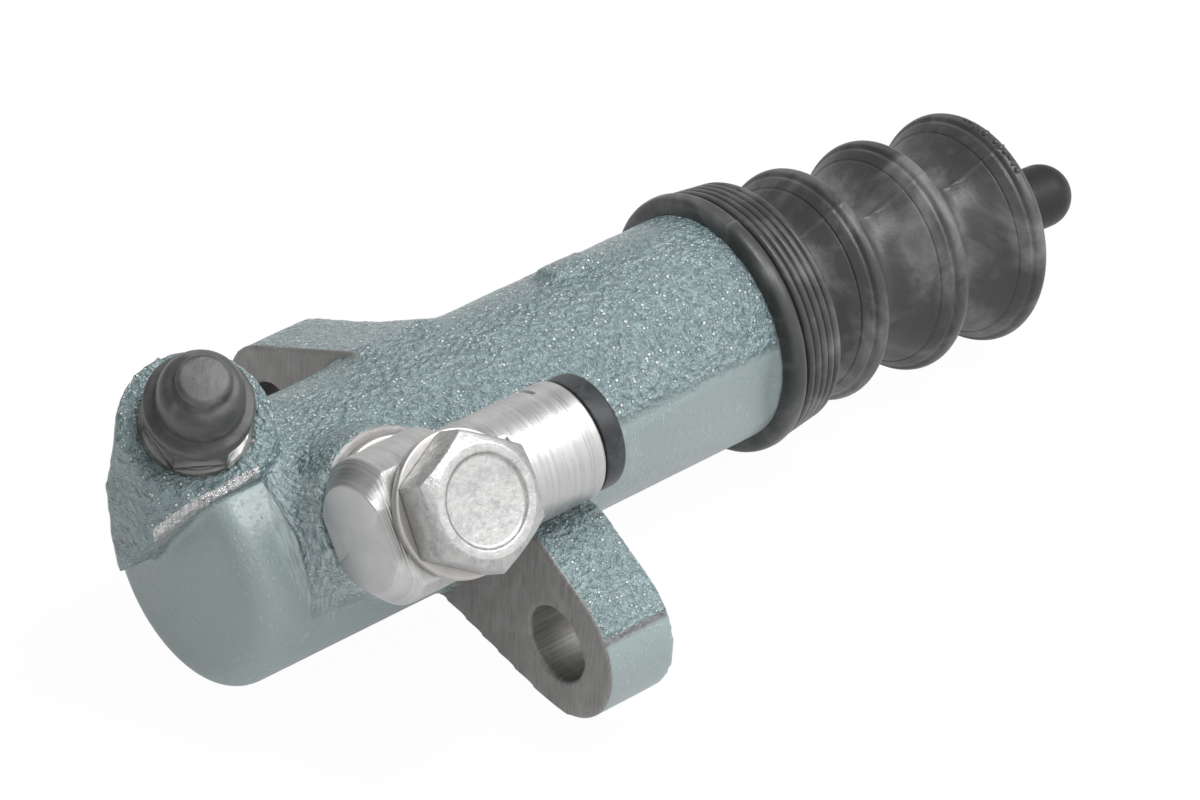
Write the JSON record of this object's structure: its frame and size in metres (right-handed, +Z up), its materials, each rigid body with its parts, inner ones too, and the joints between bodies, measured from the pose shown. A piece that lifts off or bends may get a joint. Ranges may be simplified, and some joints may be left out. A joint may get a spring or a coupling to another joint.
{
  "type": "clutch slave cylinder",
  "caption": "Cast hydraulic slave cylinder with mounting ears, side hose union, bleeder and bellows boot over a push rod.",
  "frame": {"origin": "midway between the two ear holes, on the machined mounting face of the ears", "axes": "+X along the bore toward the push rod, +Y along the line of the two holes, +Z up from that line toward the bleeder"},
  "size_m": [0.1396, 0.068, 0.0477],
  "materials": {
    "cast_paint": "satin",
    "plated_steel": "satin",
    "turned_aluminium": "satin",
    "spring_steel": "satin",
    "copper_gasket": "satin",
    "boot_rubber": "matte",
    "cup_rubber": "satin"
  },
  "bodies": {
    "cylinder": {"cylinder_body": "cast_paint", "dust_boot": "boot_rubber", "hose_union": "plated_steel", "union_bolt": "plated_steel", "upper_gasket": "copper_gasket", "lower_gasket": "copper_gasket", "valve_plate": "spring_steel", "valve_spring": "spring_steel", "stop_ring": "spring_steel", "conical_spring": "spring_steel"},
    "piston": {"piston": "turned_aluminium", "primary_cup": "cup_rubber", "secondary_cup": "cup_rubber"},
    "push_rod": {"push_rod": "plated_steel"},
    "bleeder_screw": {"bleeder_screw": "plated_steel"},
    "bleeder_cap": {"bleeder_cap": "cup_rubber"},
    "port_plug": {"port_plug": "cup_rubber"}
  },
  "joints": [
    {"name": "piston_slide", "type": "slide", "parent": "cylinder", "child": "piston", "axis": [-1, 0, 0], "range_m": [0, 0.015], "stiffness_N_per_m": 600, "springref_m": -0.004, "deforming": ["dust_boot", "conical_spring"]},
    {"name": "rod_tilt", "type": "hinge", "parent": "piston", "child": "push_rod", "pos_m": [0.038, 0.004, 0.005], "axis": [0, 1, 0], "range_deg": [-8, 3], "deforming": ["dust_boot"]},
    {"name": "bleeder_turn", "type": "hinge", "parent": "cylinder", "child": "bleeder_screw", "pos_m": [-0.0258, 0.0066, 0.0232], "axis": [-0.2485, -0.4304, 0.8678], "range_deg": [0, 360]},
    {"name": "cap_pull", "type": "slide", "parent": "bleeder_screw", "child": "bleeder_cap", "axis": [-0.2485, -0.4304, 0.8678], "range_m": [0, 0.012]},
    {"name": "plug_pull", "type": "slide", "parent": "cylinder", "child": "port_plug", "axis": [1, 0, 0], "range_m": [0, 0.01]}
  ]
}
